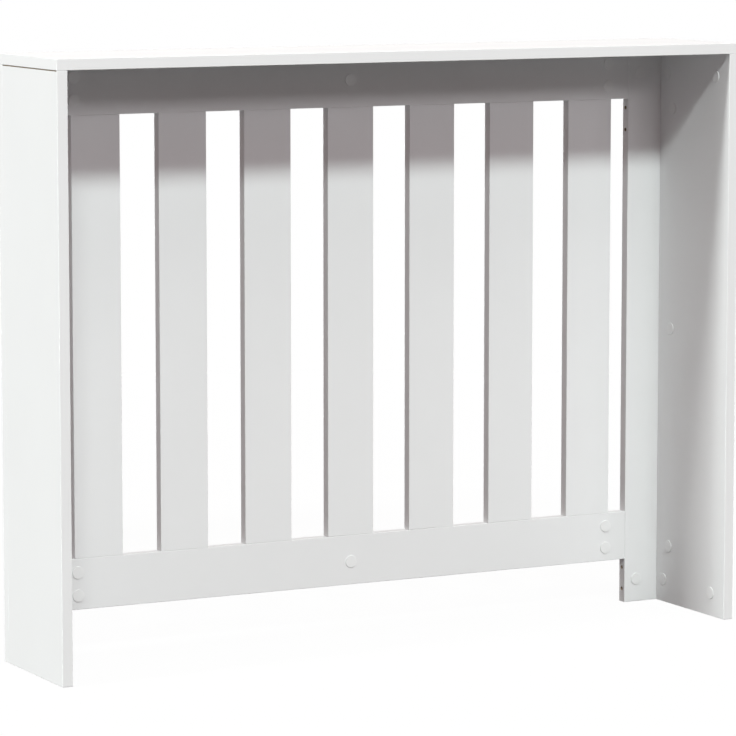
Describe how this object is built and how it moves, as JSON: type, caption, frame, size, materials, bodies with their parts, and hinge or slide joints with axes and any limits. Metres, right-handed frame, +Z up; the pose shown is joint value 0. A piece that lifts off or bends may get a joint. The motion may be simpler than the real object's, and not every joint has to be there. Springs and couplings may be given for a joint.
{
  "type": "radiator cover cabinet",
  "caption": "Case of plain white boards that stands over a radiator: a top, two side panels and a slatted front joined by cam connectors, with an open back and underside.",
  "frame": {"origin": "on the floor, under the centre of the bounding box", "axes": "+X to the right as seen from the room, +Y from the slatted front to the open back, +Z up"},
  "size_m": [1.05, 0.2, 0.83],
  "materials": {
    "white_board": "smooth satin white foil over wood-based board",
    "cam_metal": "bright zinc",
    "cap_plastic": "satin white"
  },
  "bodies": {
    "root": {"bottom_rail": "white_board", "cap_bottom_rail_left_lower": "cap_plastic", "cap_bottom_rail_left_upper": "cap_plastic", "cap_bottom_rail_right_lower": "cap_plastic", "cap_bottom_rail_right_upper": "cap_plastic", "cap_bottom_rail_slat": "cap_plastic", "cap_stile_left_1": "cap_plastic", "cap_stile_left_2": "cap_plastic", "cap_stile_left_3": "cap_plastic", "cap_stile_right_1": "cap_plastic", "cap_stile_right_2": "cap_plastic", "cap_stile_right_3": "cap_plastic", "cap_top_left_front": "cap_plastic", "cap_top_left_rear": "cap_plastic", "cap_top_left_stile": "cap_plastic", "cap_top_rail_left_lower": "cap_plastic", "cap_top_rail_left_upper": "cap_plastic", "cap_top_rail_right_lower": "cap_plastic", "cap_top_rail_right_upper": "cap_plastic", "cap_top_rail_slat": "cap_plastic", "cap_top_right_front": "cap_plastic", "cap_top_right_rear": "cap_plastic", "cap_top_right_stile": "cap_plastic", "connector_bottom_rail_left_lower": "cam_metal", "connector_bottom_rail_left_upper": "cam_metal", "connector_bottom_rail_right_lower": "cam_metal", "connector_bottom_rail_right_upper": "cam_metal", "connector_bottom_rail_slat": "cam_metal", "connector_stile_left_1": "cam_metal", "connector_stile_left_2": "cam_metal", "connector_stile_left_3": "cam_metal", "connector_stile_right_1": "cam_metal", "connector_stile_right_2": "cam_metal", "connector_stile_right_3": "cam_metal", "connector_top_left_front": "cam_metal", "connector_top_left_rear": "cam_metal", "connector_top_left_stile": "cam_metal", "connector_top_rail_left_lower": "cam_metal", "connector_top_rail_left_upper": "cam_metal", "connector_top_rail_right_lower": "cam_metal", "connector_top_rail_right_upper": "cam_metal", "connector_top_rail_slat": "cam_metal", "connector_top_right_front": "cam_metal", "connector_top_right_rear": "cam_metal", "connector_top_right_stile": "cam_metal", "side_panel_left": "white_board", "side_panel_right": "white_board", "slat_1": "white_board", "slat_2": "white_board", "slat_3": "white_board", "slat_4": "white_board", "slat_5": "white_board", "slat_6": "white_board", "slat_7": "white_board", "stile_left": "white_board", "stile_right": "white_board", "top_board": "white_board", "top_rail": "white_board"}
  },
  "joints": []
}
